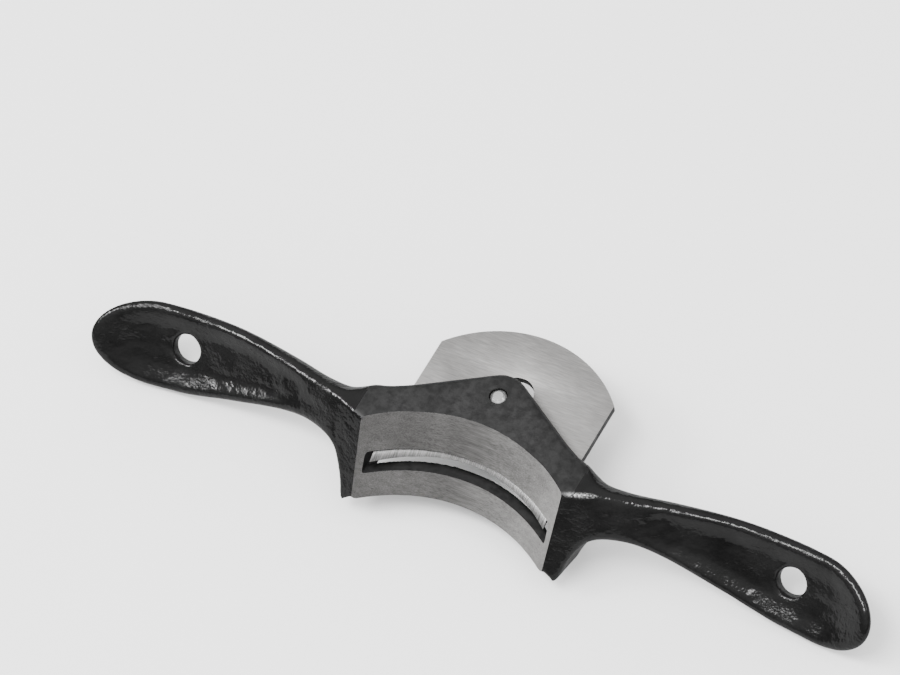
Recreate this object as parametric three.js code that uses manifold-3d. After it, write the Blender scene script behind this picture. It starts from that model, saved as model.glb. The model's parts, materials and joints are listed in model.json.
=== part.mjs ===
// Concave-face spokeshave: a one-piece casting with two handles, a curved cutter, a lever cap and a cap screw.
// Millimetres. X runs along the handles, the sole faces -Y and upwards, and the bed's flat heel face looks up (+Z).
import * as THREE from 'three';
import { mergeVertices } from 'three/addons/utils/BufferGeometryUtils.js';
import Module from 'manifold-3d';

const wasm = await Module();
wasm.setup();

// ---- Driving dimensions ----
const OVERALL_LENGTH = 250;
const SOLE_RADIUS = 59;
const SOLE_HALF_WIDTH = 32;
const TOE_NARROWING = 1.5;                         // the sole is this much narrower each side at the toe
const ROOT_FACE_SLOPE = 0.28;                      // fall-back of the handle root's face away from the sole
const SOLE_PITCH = THREE.MathUtils.degToRad(53);   // sole generator against the cutter bed
const BODY_HEIGHT = 21;                            // toe edge to heel face, square to the bed
const BED_Z = 11.6;                                // face that the cutter is clamped up against
const FIT_GAP = 0.3;

const CHEEK_X = 33;
const TOE_LEVEL_X = 31;
const TOE_FALL = 0.8;                              // slope of the casting's underside beyond the sole
const MOUTH_HALF_WIDTH = 29.3;
const MOUTH_LOW_Z = 6.2;
const TOE_BAR_DEPTH = 3.8;
const BED_EDGE_ROUND = 2.4;
const BLANK_FRONT_Y = -30;
const BLANK_OVERHANG = 0.5;                        // rounded side edges that the square front replaces
const SQUARE_FRONT_BACK_Y = 4;
const THROAT_LOW_Z = -5;

const SCREW_Y = 22;
const SCREW_RADIUS = 2.4;
const SCREW_HOLE_RADIUS = 2.65;
const SCREW_END_BELOW_FACE = 0.2;
const BOSS_RADIUS = 8.5;                           // bed and cap are rounded about the screw
const BED_EDGE_SLOPE = 0.62;                       // fall of the bed's back edge towards each handle

const CUTTER_THICKNESS = 2.3;
const CUTTER_HALF_WIDTH = 27.8;
const CUTTER_CORNER_Y = 37.2;
const CUTTER_BACK_RADIUS = 37;
const CUTTER_BEVEL = THREE.MathUtils.degToRad(30);
const CUTTER_PROUD = 0.3;
const CUTTER_EXTRA_HOLLOW = 2;                     // the edge is hollower than the sole
const SLOT_RADIUS = 5.4;
const SLOT_NEAR_Y = 17.4;
const SLOT_FAR_Y = 29.8;

const CAP_SETBACK = 2.2;
const CAP_HALF_WIDTH = 25.5;
const CAP_THICKNESS = 5.2;
const CAP_NOSE_THICKNESS = 1.6;
const CAP_NOSE_SLOPE_LENGTH = 8;
const CAP_SIDE_END_Y = 11.5;
const CAP_RELIEF = 0.8;
const CAP_RELIEF_Y = 16;
const CAP_RELIEF_RADIUS = 11;
const CAP_BOSS_RADIUS = 8;
const CAP_BOSS_HEIGHT = 1.8;
const CAP_HOLE_RADIUS = 2.9;

const HEAD_RADIUS = 7.6;
const HEAD_HEIGHT = 7.6;
const COLLAR_RADIUS = 5;
const COLLAR_HEIGHT = 2.2;
const SCREW_END_CHAMFER = 0.8;
const HEAD_SLOT_WIDTH = 1.6;
const HEAD_SLOT_DEPTH = 2;
const HEAD_CHAMFER = 0.8;

const HANDLE_TIP_X = OVERALL_LENGTH / 2;
const HANDLE_ROOT_X = 30.4;
const TIP_ROUND_START_X = 106;
const HOLE_X = 97.2;
const HOLE_RADIUS = 4.4;
const HOLE_RAISED = 0.7;                           // above the middle of the handle's face
const TIP_THINNING = 0.5;                          // share of the thickness that is lost at the very tip
const TIP_END_FLAT = 0.02;
const CORNER_OF_THICKNESS = 0.42;                  // largest corner rounding, as a share of the thickness
const CORNER_OF_HALF_WIDTH = 0.6;
const DISH_STEEPNESS = 1.8;

// ---- Fineness and tool sizes ----
const WELD_DISTANCE = 1e-4;
const ARC_STEPS = 24;
const EDGE_ROUND_STEPS = 4;
const SOLE_SEGMENTS = 160;
const HOLE_SEGMENTS = 40;
const HANGING_HOLE_SEGMENTS = 32;
const SCREW_SEGMENTS = 48;
const CLEAR = 60;                                  // reaches past the bed on every side
const SOLE_TOOL_LENGTH = 160;
const TOE_TOOL_REACH = 10;
const ROOT_TOOL_REACH = 10;
const ROOT_TOOL_LENGTH = 80;
const ROOT_TOOL_HEIGHT = 20;

const STEEL = { color: 0xc6c4bf, roughness: 0.35, metalness: 1 };
const ENAMEL = { color: 0x101010, roughness: 0.25, metalness: 0 };
const DARK_CAST = { color: 0x2c2c2d, roughness: 0.5, metalness: 0.3 };

const SIN_PITCH = Math.sin(SOLE_PITCH);
const COS_PITCH = Math.cos(SOLE_PITCH);
const SOLE_AXIS_DROP = Math.sqrt(SOLE_RADIUS ** 2 - SOLE_HALF_WIDTH ** 2);

// ---- Helpers ----

// A point given by its depth behind the sole's corner plane and its place along the sole's straight direction,
// both counted from the heel corner.
function solePoint(x, depth, along) {
  const y = depth * SIN_PITCH + along * COS_PITCH;
  const z = BODY_HEIGHT - depth * COS_PITCH + along * SIN_PITCH;
  return new THREE.Vector3(x, y, z);
}

// How deep the hollow sole lies behind its corner plane.
function soleDepth(x) {
  return Math.sqrt(SOLE_RADIUS ** 2 - x * x) - SOLE_AXIS_DROP;
}

// Where the sole's surface crosses a level plane.
function soleY(x, z) {
  return (z - BODY_HEIGHT) * COS_PITCH / SIN_PITCH + soleDepth(x) / SIN_PITCH;
}

// The bed's straight back edges run tangent to the boss around the screw.
function bedEdgeY(x) {
  return SCREW_Y + BOSS_RADIUS * Math.hypot(1, BED_EDGE_SLOPE) - BED_EDGE_SLOPE * Math.abs(x);
}

function solid(geometry) {
  const bare = geometry.clone();
  bare.deleteAttribute('normal');
  bare.deleteAttribute('uv');
  const merged = mergeVertices(bare, WELD_DISTANCE);
  const vertProperties = new Float32Array(merged.attributes.position.array);
  const triVerts = new Uint32Array(merged.index.array);
  return new wasm.Manifold(new wasm.Mesh({ numProp: 3, vertProperties, triVerts }));
}

function geometryOf(manifold) {
  const mesh = manifold.getMesh();
  const geometry = new THREE.BufferGeometry();
  geometry.setAttribute('position', new THREE.BufferAttribute(mesh.vertProperties, 3));
  geometry.setIndex(new THREE.BufferAttribute(mesh.triVerts, 1));
  geometry.computeVertexNormals();
  return geometry;
}

function box(xLow, xHigh, yLow, yHigh, zLow, zHigh) {
  const geometry = new THREE.BoxGeometry(xHigh - xLow, yHigh - yLow, zHigh - zLow);
  geometry.translate((xLow + xHigh) / 2, (yLow + yHigh) / 2, (zLow + zHigh) / 2);
  return solid(geometry);
}

// Plate with a level outline, from one height to another, with optional rounded edges.
function plate(shape, zLow, zHigh, round = 0) {
  const geometry = new THREE.ExtrudeGeometry(shape, {
    depth: zHigh - zLow - 2 * round,
    curveSegments: ARC_STEPS,
    bevelEnabled: round > 0,
    bevelSize: round,
    bevelOffset: -round,
    bevelThickness: round,
    bevelSegments: EDGE_ROUND_STEPS,
  });
  geometry.translate(0, 0, zLow + round);
  return solid(geometry);
}

function uprightCylinder(radius, x, y, zLow, zHigh) {
  const geometry = new THREE.CylinderGeometry(radius, radius, zHigh - zLow, HOLE_SEGMENTS);
  geometry.rotateX(Math.PI / 2);
  geometry.translate(x, y, (zLow + zHigh) / 2);
  return solid(geometry);
}

// Cylinder along any line through a point.
function cylinderAlong(radius, point, direction, length, segments) {
  const geometry = new THREE.CylinderGeometry(radius, radius, length, segments);
  const turn = new THREE.Quaternion().setFromUnitVectors(new THREE.Vector3(0, 1, 0), direction);
  geometry.applyQuaternion(turn);
  geometry.translate(point.x, point.y, point.z);
  return solid(geometry);
}

// Closed skin through a row of rings with equally many points, closed by a fan at each end.
function loft(rings) {
  const count = rings[0].length;
  const positions = rings.flat().flatMap((p) => [p.x, p.y, p.z]);
  const index = [];
  for (let r = 0; r + 1 < rings.length; r += 1) {
    for (let i = 0; i < count; i += 1) {
      const a = r * count + i;
      const b = r * count + (i + 1) % count;
      index.push(b, a, a + count, b + count, b, a + count);
    }
  }
  for (const [r, flip] of [[0, false], [rings.length - 1, true]]) {
    const centre = new THREE.Vector3();
    rings[r].forEach((p) => centre.addScaledVector(p, 1 / count));
    const tip = positions.length / 3;
    positions.push(centre.x, centre.y, centre.z);
    for (let i = 0; i < count; i += 1) {
      const a = r * count + i;
      const b = r * count + (i + 1) % count;
      index.push(...(flip ? [b, a, tip] : [a, b, tip]));
    }
  }
  const geometry = new THREE.BufferGeometry();
  geometry.setAttribute('position', new THREE.Float32BufferAttribute(positions, 3));
  geometry.setIndex(index);
  return geometry;
}

// Smooth curve value at x through a few [x, value] stations.
function throughStations(stations, x) {
  const last = stations.length - 1;
  let i = 0;
  while (i < last - 1 && x > stations[i + 1][0]) i += 1;
  const slope = (a, b) => (stations[b][1] - stations[a][1]) / (stations[b][0] - stations[a][0]);
  const startSlope = slope(Math.max(i - 1, 0), i + 1);
  const endSlope = slope(i, Math.min(i + 2, last));
  const width = stations[i + 1][0] - stations[i][0];
  const t = THREE.MathUtils.clamp((x - stations[i][0]) / width, 0, 1);
  const rise = stations[i + 1][1] - stations[i][1];
  const a = startSlope * width - rise;
  const b = rise - endSlope * width;
  return stations[i][1] + t * rise + t * (1 - t) * ((1 - t) * a + t * b);
}

function handMesh(name, manifold, look) {
  const mesh = new THREE.Mesh(geometryOf(manifold), new THREE.MeshStandardMaterial(look));
  mesh.name = name;
  return mesh;
}

// ---- Body casting ----

// Handle stations, each [distance from the middle, value]: the broad face's centre line and half width along
// the sole's straight direction, the face's depth behind the sole's corner plane, and its thickness.
const FACE_CENTRE = [
  [30, -13.2], [32, -11.8], [36, -7.3], [41, -4.7], [50, -3.6],
  [60, -3.8], [80, -6], [97, -8.7], [125, -10.2],
];
const FACE_HALF_WIDTH = [
  [30, 12.7], [32, 12.2], [36, 10.2], [41, 8], [50, 7],
  [60, 7.9], [80, 11.2], [97, 12.9], [125, 13.2],
];
const FACE_DEPTH = [
  [30, -0.2], [41, 2.7], [54, 6.8], [66, 10], [82, 13.2],
  [97, 15.1], [109, 14.3], [118, 11.4], [125, 8.2],
];
const HANDLE_THICKNESS = [
  [30, 12], [36, 11.2], [41, 9.4], [49, 7.8], [60, 7.2],
  [80, 6.2], [97, 6.2], [125, 4.6],
];
const DISH_DEPTH = [[30, 0], [50, 0], [70, 1.6], [97, 1.8], [112, 1.1], [125, 0]];
const FACE_RIM = 2.4;

function handleSection(x) {
  const beyond = Math.max(0, (x - TIP_ROUND_START_X) / (HANDLE_TIP_X - TIP_ROUND_START_X));
  const ending = Math.sqrt(Math.max(0, 1 - beyond * beyond));
  const centre = throughStations(FACE_CENTRE, x);
  const halfWidth = throughStations(FACE_HALF_WIDTH, x) * ending;
  const depth = throughStations(FACE_DEPTH, x);
  const thickness = throughStations(HANDLE_THICKNESS, x) * (1 - TIP_THINNING * (1 - ending));
  const middle = depth + throughStations(HANDLE_THICKNESS, x) / 2;
  const dish = throughStations(DISH_DEPTH, x) * ending;
  const ring = [];
  const cornerSteps = 5;
  const faceSteps = 8;
  const corner = Math.min(thickness * CORNER_OF_THICKNESS, halfWidth * CORNER_OF_HALF_WIDTH);
  const flat = halfWidth - corner;
  const low = middle - thickness / 2;
  const high = middle + thickness / 2;
  const place = (along, across) => ring.push(solePoint(x, across, centre + along));
  // Sole-side face from the toe edge to the heel edge, hollowed between its rims.
  for (let i = 0; i <= faceSteps; i += 1) {
    const along = -flat + 2 * flat * i / faceSteps;
    const inside = Math.max(0, 1 - Math.abs(along) / Math.max(halfWidth - FACE_RIM, 0.1));
    place(along, low + dish * Math.min(1, DISH_STEEPNESS * inside));
  }
  for (let i = 1; i < cornerSteps; i += 1) {
    const turn = (i / cornerSteps) * Math.PI;
    place(flat + corner * Math.sin(turn), middle - (thickness / 2) * Math.cos(turn));
  }
  for (let i = faceSteps; i >= 0; i -= 1) {
    place(-flat + 2 * flat * i / faceSteps, high);
  }
  for (let i = cornerSteps - 1; i > 0; i -= 1) {
    const turn = (i / cornerSteps) * Math.PI;
    place(-flat - corner * Math.sin(turn), middle - (thickness / 2) * Math.cos(turn));
  }
  return ring;
}

function handle() {
  const rings = [];
  const rootSteps = 12;
  const faceSteps = 18;
  const tipSteps = 7;
  const rootEnd = 50;
  for (let i = 0; i < rootSteps; i += 1) {
    rings.push(handleSection(THREE.MathUtils.lerp(HANDLE_ROOT_X, rootEnd, i / rootSteps)));
  }
  for (let i = 0; i < faceSteps; i += 1) {
    rings.push(handleSection(THREE.MathUtils.lerp(rootEnd, TIP_ROUND_START_X, i / faceSteps)));
  }
  for (let i = 0; i < tipSteps; i += 1) {
    const turn = (i / tipSteps) * Math.PI / 2;
    rings.push(handleSection(TIP_ROUND_START_X + (HANDLE_TIP_X - TIP_ROUND_START_X) * Math.sin(turn)));
  }
  rings.push(handleSection(HANDLE_TIP_X - TIP_END_FLAT));
  return solid(loft(rings));
}

function bedOutline() {
  const half = CHEEK_X + BLANK_OVERHANG;
  const tangent = Math.atan(BED_EDGE_SLOPE);
  const shape = new THREE.Shape();
  shape.moveTo(-half, BLANK_FRONT_Y);
  shape.lineTo(half, BLANK_FRONT_Y);
  shape.lineTo(half, bedEdgeY(half));
  shape.absarc(0, SCREW_Y, BOSS_RADIUS, Math.PI / 2 - tangent, Math.PI / 2 + tangent, false);
  shape.lineTo(-half, bedEdgeY(half));
  shape.closePath();
  return shape;
}

function soleCylinder() {
  const along = new THREE.Vector3(0, COS_PITCH, SIN_PITCH);
  const middle = solePoint(0, -SOLE_AXIS_DROP, -BODY_HEIGHT / 2);
  return cylinderAlong(SOLE_RADIUS, middle, along, SOLE_TOOL_LENGTH, SOLE_SEGMENTS);
}

// The space below the toe side, which is level across the sole and falls away under the handles.
function belowToeSide() {
  const fall = TOE_TOOL_REACH * TOE_FALL;
  const shape = new THREE.Shape();
  shape.moveTo(-TOE_LEVEL_X - TOE_TOOL_REACH, -fall);
  shape.lineTo(-TOE_LEVEL_X, 0);
  shape.lineTo(TOE_LEVEL_X, 0);
  shape.lineTo(TOE_LEVEL_X + TOE_TOOL_REACH, -fall);
  shape.closePath();
  const geometry = new THREE.ExtrudeGeometry(shape, { depth: 2 * CLEAR, bevelEnabled: false });
  geometry.rotateX(Math.PI / 2);
  geometry.translate(0, CLEAR, 0);
  return solid(geometry);
}

// The space in front of a handle root's flat face, which starts at the side edge of the sole.
function rootFaceTool(side) {
  const heelCorner = solePoint(side * SOLE_HALF_WIDTH, 0, 0);
  const toeAlong = -BODY_HEIGHT / SIN_PITCH;
  const toeX = SOLE_HALF_WIDTH - TOE_NARROWING;
  const toeCorner = solePoint(side * toeX, soleDepth(toeX), toeAlong);
  const edge = heelCorner.clone().sub(toeCorner).normalize();
  const outward = solePoint(side, ROOT_FACE_SLOPE, 0).sub(solePoint(0, 0, 0));
  outward.addScaledVector(edge, -outward.dot(edge)).normalize();
  const forward = new THREE.Vector3().crossVectors(edge, outward).normalize();
  if (forward.y > 0) forward.negate();
  const geometry = new THREE.BoxGeometry(ROOT_TOOL_REACH, ROOT_TOOL_LENGTH, ROOT_TOOL_HEIGHT);
  const third = new THREE.Vector3().crossVectors(outward, edge);
  geometry.applyMatrix4(new THREE.Matrix4().makeBasis(outward, edge, third));
  const centre = heelCorner.clone().lerp(toeCorner, 0.5);
  centre.addScaledVector(outward, ROOT_TOOL_REACH / 2).addScaledVector(forward, ROOT_TOOL_HEIGHT / 2);
  geometry.translate(centre.x, centre.y, centre.z);
  return solid(geometry);
}

// Everything in front of the toe bar's back wall, which is curved like the sole.
function throat() {
  const shape = new THREE.Shape();
  const steps = 32;
  const behindBar = (x) => soleY(x, MOUTH_LOW_Z) + TOE_BAR_DEPTH;
  shape.moveTo(-MOUTH_HALF_WIDTH, behindBar(MOUTH_HALF_WIDTH));
  for (let i = 1; i <= steps; i += 1) {
    const x = MOUTH_HALF_WIDTH * (2 * i / steps - 1);
    shape.lineTo(x, behindBar(x));
  }
  shape.lineTo(MOUTH_HALF_WIDTH, CLEAR);
  shape.lineTo(-MOUTH_HALF_WIDTH, CLEAR);
  shape.closePath();
  return plate(shape, THROAT_LOW_Z, BED_Z);
}

function bodyCasting() {
  const right = handle();
  const left = right.mirror([1, 0, 0]);
  const lowZ = -2 * BED_EDGE_ROUND;
  const blank = plate(bedOutline(), lowZ, BODY_HEIGHT, BED_EDGE_ROUND);
  const squareFront = box(-CHEEK_X, CHEEK_X, BLANK_FRONT_Y, SQUARE_FRONT_BACK_Y, lowZ, BODY_HEIGHT);
  const belowToe = box(-CLEAR, CLEAR, -CLEAR, CLEAR, -CLEAR, 0);
  const mouth = box(-MOUTH_HALF_WIDTH, MOUTH_HALF_WIDTH, -CLEAR, CLEAR, MOUTH_LOW_Z, BED_Z);
  const bored = uprightCylinder(SCREW_HOLE_RADIUS, 0, SCREW_Y, -CLEAR, CLEAR);
  let body = blank.add(squareFront).subtract(belowToe).add(right).add(left);
  body = body.subtract(rootFaceTool(1)).subtract(rootFaceTool(-1)).subtract(belowToeSide());
  body = body.subtract(soleCylinder()).subtract(throat()).subtract(mouth).subtract(bored);
  const across = new THREE.Vector3(0, SIN_PITCH, -COS_PITCH);
  const holeAlong = throughStations(FACE_CENTRE, HOLE_X) + HOLE_RAISED;
  for (const side of [-1, 1]) {
    const centre = solePoint(side * HOLE_X, throughStations(FACE_DEPTH, HOLE_X), holeAlong);
    body = body.subtract(cylinderAlong(HOLE_RADIUS, centre, across, CLEAR, HANGING_HOLE_SEGMENTS));
  }
  return body;
}

// ---- Cutter ----

function cuttingEdgeY(x) {
  const hollow = CUTTER_EXTRA_HOLLOW * (1 - (x / CUTTER_HALF_WIDTH) ** 2);
  return soleY(x, CUTTER_LOW_Z) - CUTTER_PROUD + hollow;
}

function cutterOutline(setback) {
  const steps = 36;
  const points = [];
  for (let i = 0; i <= steps; i += 1) {
    const x = CUTTER_HALF_WIDTH * (2 * i / steps - 1);
    points.push(new THREE.Vector2(x, cuttingEdgeY(x) + setback));
  }
  const centreY = CUTTER_CORNER_Y - Math.sqrt(CUTTER_BACK_RADIUS ** 2 - CUTTER_HALF_WIDTH ** 2);
  const reach = Math.acos(CUTTER_HALF_WIDTH / CUTTER_BACK_RADIUS);
  for (let i = 0; i <= steps; i += 1) {
    const turn = THREE.MathUtils.lerp(reach, Math.PI - reach, i / steps);
    const x = CUTTER_BACK_RADIUS * Math.cos(turn);
    points.push(new THREE.Vector2(x, centreY + CUTTER_BACK_RADIUS * Math.sin(turn)));
  }
  return points;
}

function slabBetween(lowOutline, highOutline, zLow, zHigh) {
  const count = lowOutline.length;
  const low = lowOutline.flatMap((p) => [p.x, p.y, zLow]);
  const high = highOutline.flatMap((p) => [p.x, p.y, zHigh]);
  const positions = [...low, ...high];
  const index = [];
  for (const [a, b, c] of THREE.ShapeUtils.triangulateShape(lowOutline, [])) {
    index.push(c, b, a);
  }
  for (const [a, b, c] of THREE.ShapeUtils.triangulateShape(highOutline, [])) {
    index.push(a + count, b + count, c + count);
  }
  for (let i = 0; i < count; i += 1) {
    const next = (i + 1) % count;
    index.push(i, next, i + count, next, next + count, i + count);
  }
  const geometry = new THREE.BufferGeometry();
  geometry.setAttribute('position', new THREE.Float32BufferAttribute(positions, 3));
  geometry.setIndex(index);
  return geometry;
}

function slotShape() {
  const shape = new THREE.Shape();
  shape.absarc(0, SLOT_FAR_Y, SLOT_RADIUS, 0, Math.PI, false);
  shape.absarc(0, SLOT_NEAR_Y, SLOT_RADIUS, Math.PI, 2 * Math.PI, false);
  shape.closePath();
  return shape;
}

const CUTTER_TOP_Z = BED_Z - FIT_GAP;
const CUTTER_LOW_Z = CUTTER_TOP_Z - CUTTER_THICKNESS;

function cutter() {
  const bevelLength = CUTTER_THICKNESS / Math.tan(CUTTER_BEVEL);
  const edge = cutterOutline(0);
  const heel = cutterOutline(bevelLength);
  const blank = solid(slabBetween(edge, heel, CUTTER_LOW_Z, CUTTER_TOP_Z));
  return blank.subtract(plate(slotShape(), -CLEAR, CLEAR));
}

// ---- Lever cap ----

const CAP_TOP_Z = CUTTER_LOW_Z - FIT_GAP;
const CAP_LOW_Z = CAP_TOP_Z - CAP_THICKNESS;
const CAP_BOSS_Z = CAP_LOW_Z - CAP_BOSS_HEIGHT;

function capNoseY(x) {
  return cuttingEdgeY(x) + CAP_SETBACK;
}

function capOutline(extraSetback) {
  const steps = 28;
  const points = [];
  for (let i = 0; i <= steps; i += 1) {
    const x = CAP_HALF_WIDTH * (2 * i / steps - 1);
    points.push(new THREE.Vector2(x, capNoseY(x) + extraSetback));
  }
  const side = Math.atan2(CAP_SIDE_END_Y - SCREW_Y, CAP_HALF_WIDTH);
  const reach = Math.acos(BOSS_RADIUS / Math.hypot(CAP_HALF_WIDTH, SCREW_Y - CAP_SIDE_END_Y));
  points.push(new THREE.Vector2(CAP_HALF_WIDTH, CAP_SIDE_END_Y));
  for (let i = 0; i <= ARC_STEPS; i += 1) {
    const turn = THREE.MathUtils.lerp(side + reach, Math.PI - side - reach, i / ARC_STEPS);
    points.push(new THREE.Vector2(BOSS_RADIUS * Math.cos(turn), SCREW_Y + BOSS_RADIUS * Math.sin(turn)));
  }
  points.push(new THREE.Vector2(-CAP_HALF_WIDTH, CAP_SIDE_END_Y));
  return points;
}

function leverCap() {
  const nose = capOutline(0);
  const slopedBack = capOutline(CAP_NOSE_SLOPE_LENGTH);
  const noseLowZ = CAP_TOP_Z - CAP_NOSE_THICKNESS;
  const top = solid(slabBetween(nose, nose, noseLowZ, CAP_TOP_Z));
  const under = solid(slabBetween(slopedBack, nose, CAP_LOW_Z, noseLowZ));
  const boss = uprightCylinder(CAP_BOSS_RADIUS, 0, SCREW_Y, CAP_BOSS_Z, CAP_TOP_Z);
  const relief = new THREE.Shape();
  relief.absarc(0, CAP_RELIEF_Y, CAP_RELIEF_RADIUS, 0, 2 * Math.PI, false);
  const hollow = plate(relief, CAP_TOP_Z - CAP_RELIEF, CLEAR);
  const hole = uprightCylinder(CAP_HOLE_RADIUS, 0, SCREW_Y, -CLEAR, CLEAR);
  return top.add(under).add(boss).subtract(hollow).subtract(hole);
}

// ---- Cap screw ----

function capScrew() {
  const collarTop = CAP_BOSS_Z - FIT_GAP;
  const headTop = collarTop - COLLAR_HEIGHT;
  const headLow = headTop - HEAD_HEIGHT;
  const end = BODY_HEIGHT - SCREW_END_BELOW_FACE;
  const profile = [
    [0, headLow],
    [HEAD_RADIUS - HEAD_CHAMFER, headLow],
    [HEAD_RADIUS, headLow + HEAD_CHAMFER],
    [HEAD_RADIUS, headTop - HEAD_CHAMFER],
    [HEAD_RADIUS - HEAD_CHAMFER, headTop],
    [COLLAR_RADIUS, headTop],
    [COLLAR_RADIUS, collarTop],
    [SCREW_RADIUS, collarTop],
    [SCREW_RADIUS, end - SCREW_END_CHAMFER],
    [SCREW_RADIUS - SCREW_END_CHAMFER, end],
    [0, end],
  ];
  const geometry = new THREE.LatheGeometry(profile.map(([r, z]) => new THREE.Vector2(r, z)), SCREW_SEGMENTS);
  geometry.rotateX(Math.PI / 2);
  geometry.translate(0, SCREW_Y, 0);
  const half = HEAD_SLOT_WIDTH / 2;
  const slot = box(-CLEAR, CLEAR, SCREW_Y - half, SCREW_Y + half, -CLEAR, headLow + HEAD_SLOT_DEPTH);
  return solid(geometry).subtract(slot);
}

// ---- Assembly ----

const spokeshave = new THREE.Group();
spokeshave.add(handMesh('body_casting', bodyCasting(), ENAMEL));
spokeshave.add(handMesh('cutter', cutter(), STEEL));
spokeshave.add(handMesh('lever_cap', leverCap(), DARK_CAST));
spokeshave.add(handMesh('cap_screw', capScrew(), STEEL));

// The origin is the middle of the underside of the whole tool.
const extent = new THREE.Box3().setFromObject(spokeshave);
spokeshave.position.set(0, -(extent.min.y + extent.max.y) / 2, -extent.min.z);

export default spokeshave;
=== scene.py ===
import json
import math

import bpy
import numpy as np
from mathutils import Matrix, Vector


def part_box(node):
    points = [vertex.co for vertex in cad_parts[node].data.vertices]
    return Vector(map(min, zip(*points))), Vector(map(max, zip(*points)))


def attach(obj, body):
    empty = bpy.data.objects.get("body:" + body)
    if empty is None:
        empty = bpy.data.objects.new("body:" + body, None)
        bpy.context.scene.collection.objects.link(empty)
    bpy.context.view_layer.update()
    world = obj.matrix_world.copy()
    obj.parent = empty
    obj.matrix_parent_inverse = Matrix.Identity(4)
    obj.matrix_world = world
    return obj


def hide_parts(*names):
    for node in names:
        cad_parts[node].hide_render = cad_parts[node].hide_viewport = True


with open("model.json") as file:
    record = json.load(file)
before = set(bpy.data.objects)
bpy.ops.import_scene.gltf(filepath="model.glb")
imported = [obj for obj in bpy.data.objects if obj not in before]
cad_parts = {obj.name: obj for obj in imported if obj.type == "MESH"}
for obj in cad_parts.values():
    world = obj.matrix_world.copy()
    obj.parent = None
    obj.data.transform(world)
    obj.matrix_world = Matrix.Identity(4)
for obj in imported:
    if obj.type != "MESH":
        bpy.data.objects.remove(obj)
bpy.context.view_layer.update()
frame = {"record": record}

# ---- Sizes, in millimetres, in the casting's own frame ----
# X runs along the handles, the sole faces -Y and upwards, and the heel face of the bed is the level plane
# Z = BODY_HEIGHT.

MM = 0.001
OVERALL_LENGTH = 250.0
SOLE_RADIUS = 59.0
SOLE_HALF_WIDTH = 32.0
TOE_NARROWING = 1.5
ROOT_FACE_SLOPE = 0.28
ROOT_FACE_REACH = 9.0
TOE_LEVEL_X = 31.0
TOE_FALL = 0.8
TOE_FALL_REACH = 20.0
SOLE_PITCH = math.radians(53)
BODY_HEIGHT = 21.0
BED_Z = 11.6
CHEEK_X = 33.0
MOUTH_HALF_WIDTH = 29.3
MOUTH_LOW_Z = 6.2
TOE_BAR_DEPTH = 3.8
FIT_GAP = 0.3

SCREW_Y = 22.0
SCREW_RADIUS = 2.4
SCREW_HOLE_RADIUS = 2.65
SCREW_END_BELOW_FACE = 0.2
BOSS_RADIUS = 8.5
BED_EDGE_ANGLE = math.atan(0.62)

CUTTER_THICKNESS = 2.3
CUTTER_HALF_WIDTH = 27.8
CUTTER_CORNER_Y = 37.2
CUTTER_BACK_RADIUS = 37.0
CUTTER_BEVEL = math.radians(30)
CUTTER_PROUD = 0.3
CUTTER_EXTRA_HOLLOW = 2.0
SLOT_RADIUS = 5.4
SLOT_NEAR_Y = 17.4
SLOT_FAR_Y = 29.8
CUTTER_TOP_Z = BED_Z - FIT_GAP
CUTTER_LOW_Z = CUTTER_TOP_Z - CUTTER_THICKNESS

CAP_SETBACK = 2.2
CAP_HALF_WIDTH = 25.5
CAP_THICKNESS = 5.2
CAP_NOSE_THICKNESS = 1.6
CAP_NOSE_SLOPE_LENGTH = 8.0
CAP_SIDE_END_Y = 11.5
CAP_RELIEF = 0.8
CAP_RELIEF_Y = 16.0
CAP_RELIEF_RADIUS = 11.0
CAP_BOSS_RADIUS = 8.0
CAP_BOSS_CHAMFER = 0.8
CAP_BOSS_HEIGHT = 1.8
CAP_HOLE_RADIUS = 2.9
CAP_TOP_Z = CUTTER_LOW_Z - FIT_GAP
CAP_LOW_Z = CAP_TOP_Z - CAP_THICKNESS
CAP_BOSS_Z = CAP_LOW_Z - CAP_BOSS_HEIGHT

HEAD_RADIUS = 7.6
HEAD_HEIGHT = 7.6
COLLAR_RADIUS = 5.0
COLLAR_HEIGHT = 2.2
HEAD_KNURL = 0.35
HEAD_SLOT_WIDTH = 1.6
HEAD_SLOT_DEPTH = 2.0
HEAD_EDGE = ((1.2, 0.0), (0.8, 0.15), (0.0, 0.9))  # (inward, along) from each end of the head
SCREW_END_CHAMFER = 0.8
SCREW_END_INSET = 1.0

HANDLE_TIP_X = OVERALL_LENGTH / 2
TIP_ROUND_START_X = 106.0
HOLE_X = 97.2
HOLE_RADIUS = 4.4
HOLE_RAISED = 0.7

# Handle stations, each (distance from the middle, value).
FACE_CENTRE = (
    (30, -13.2), (32, -11.8), (36, -7.3), (41, -4.7), (50, -3.6),
    (60, -3.8), (80, -6), (97, -8.7), (125, -10.2),
)
FACE_HALF_WIDTH = (
    (30, 12.7), (32, 12.2), (36, 10.2), (41, 8), (50, 7),
    (60, 7.9), (80, 11.2), (97, 12.9), (125, 13.2),
)
FACE_DEPTH = (
    (30, -0.2), (41, 2.7), (54, 6.8), (66, 10), (82, 13.2),
    (97, 15.1), (109, 14.3), (118, 11.4), (125, 8.2),
)
HANDLE_THICKNESS = (
    (30, 12), (36, 11.2), (41, 9.4), (49, 7.8), (60, 7.2),
    (80, 6.2), (97, 6.2), (125, 4.6),
)
DISH_DEPTH = ((30, 0), (50, 0), (70, 1.6), (97, 1.8), (112, 1.1), (125, 0))

SIN_PITCH = math.sin(SOLE_PITCH)
COS_PITCH = math.cos(SOLE_PITCH)
SOLE_AXIS_DROP = math.sqrt(SOLE_RADIUS ** 2 - SOLE_HALF_WIDTH ** 2)

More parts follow.
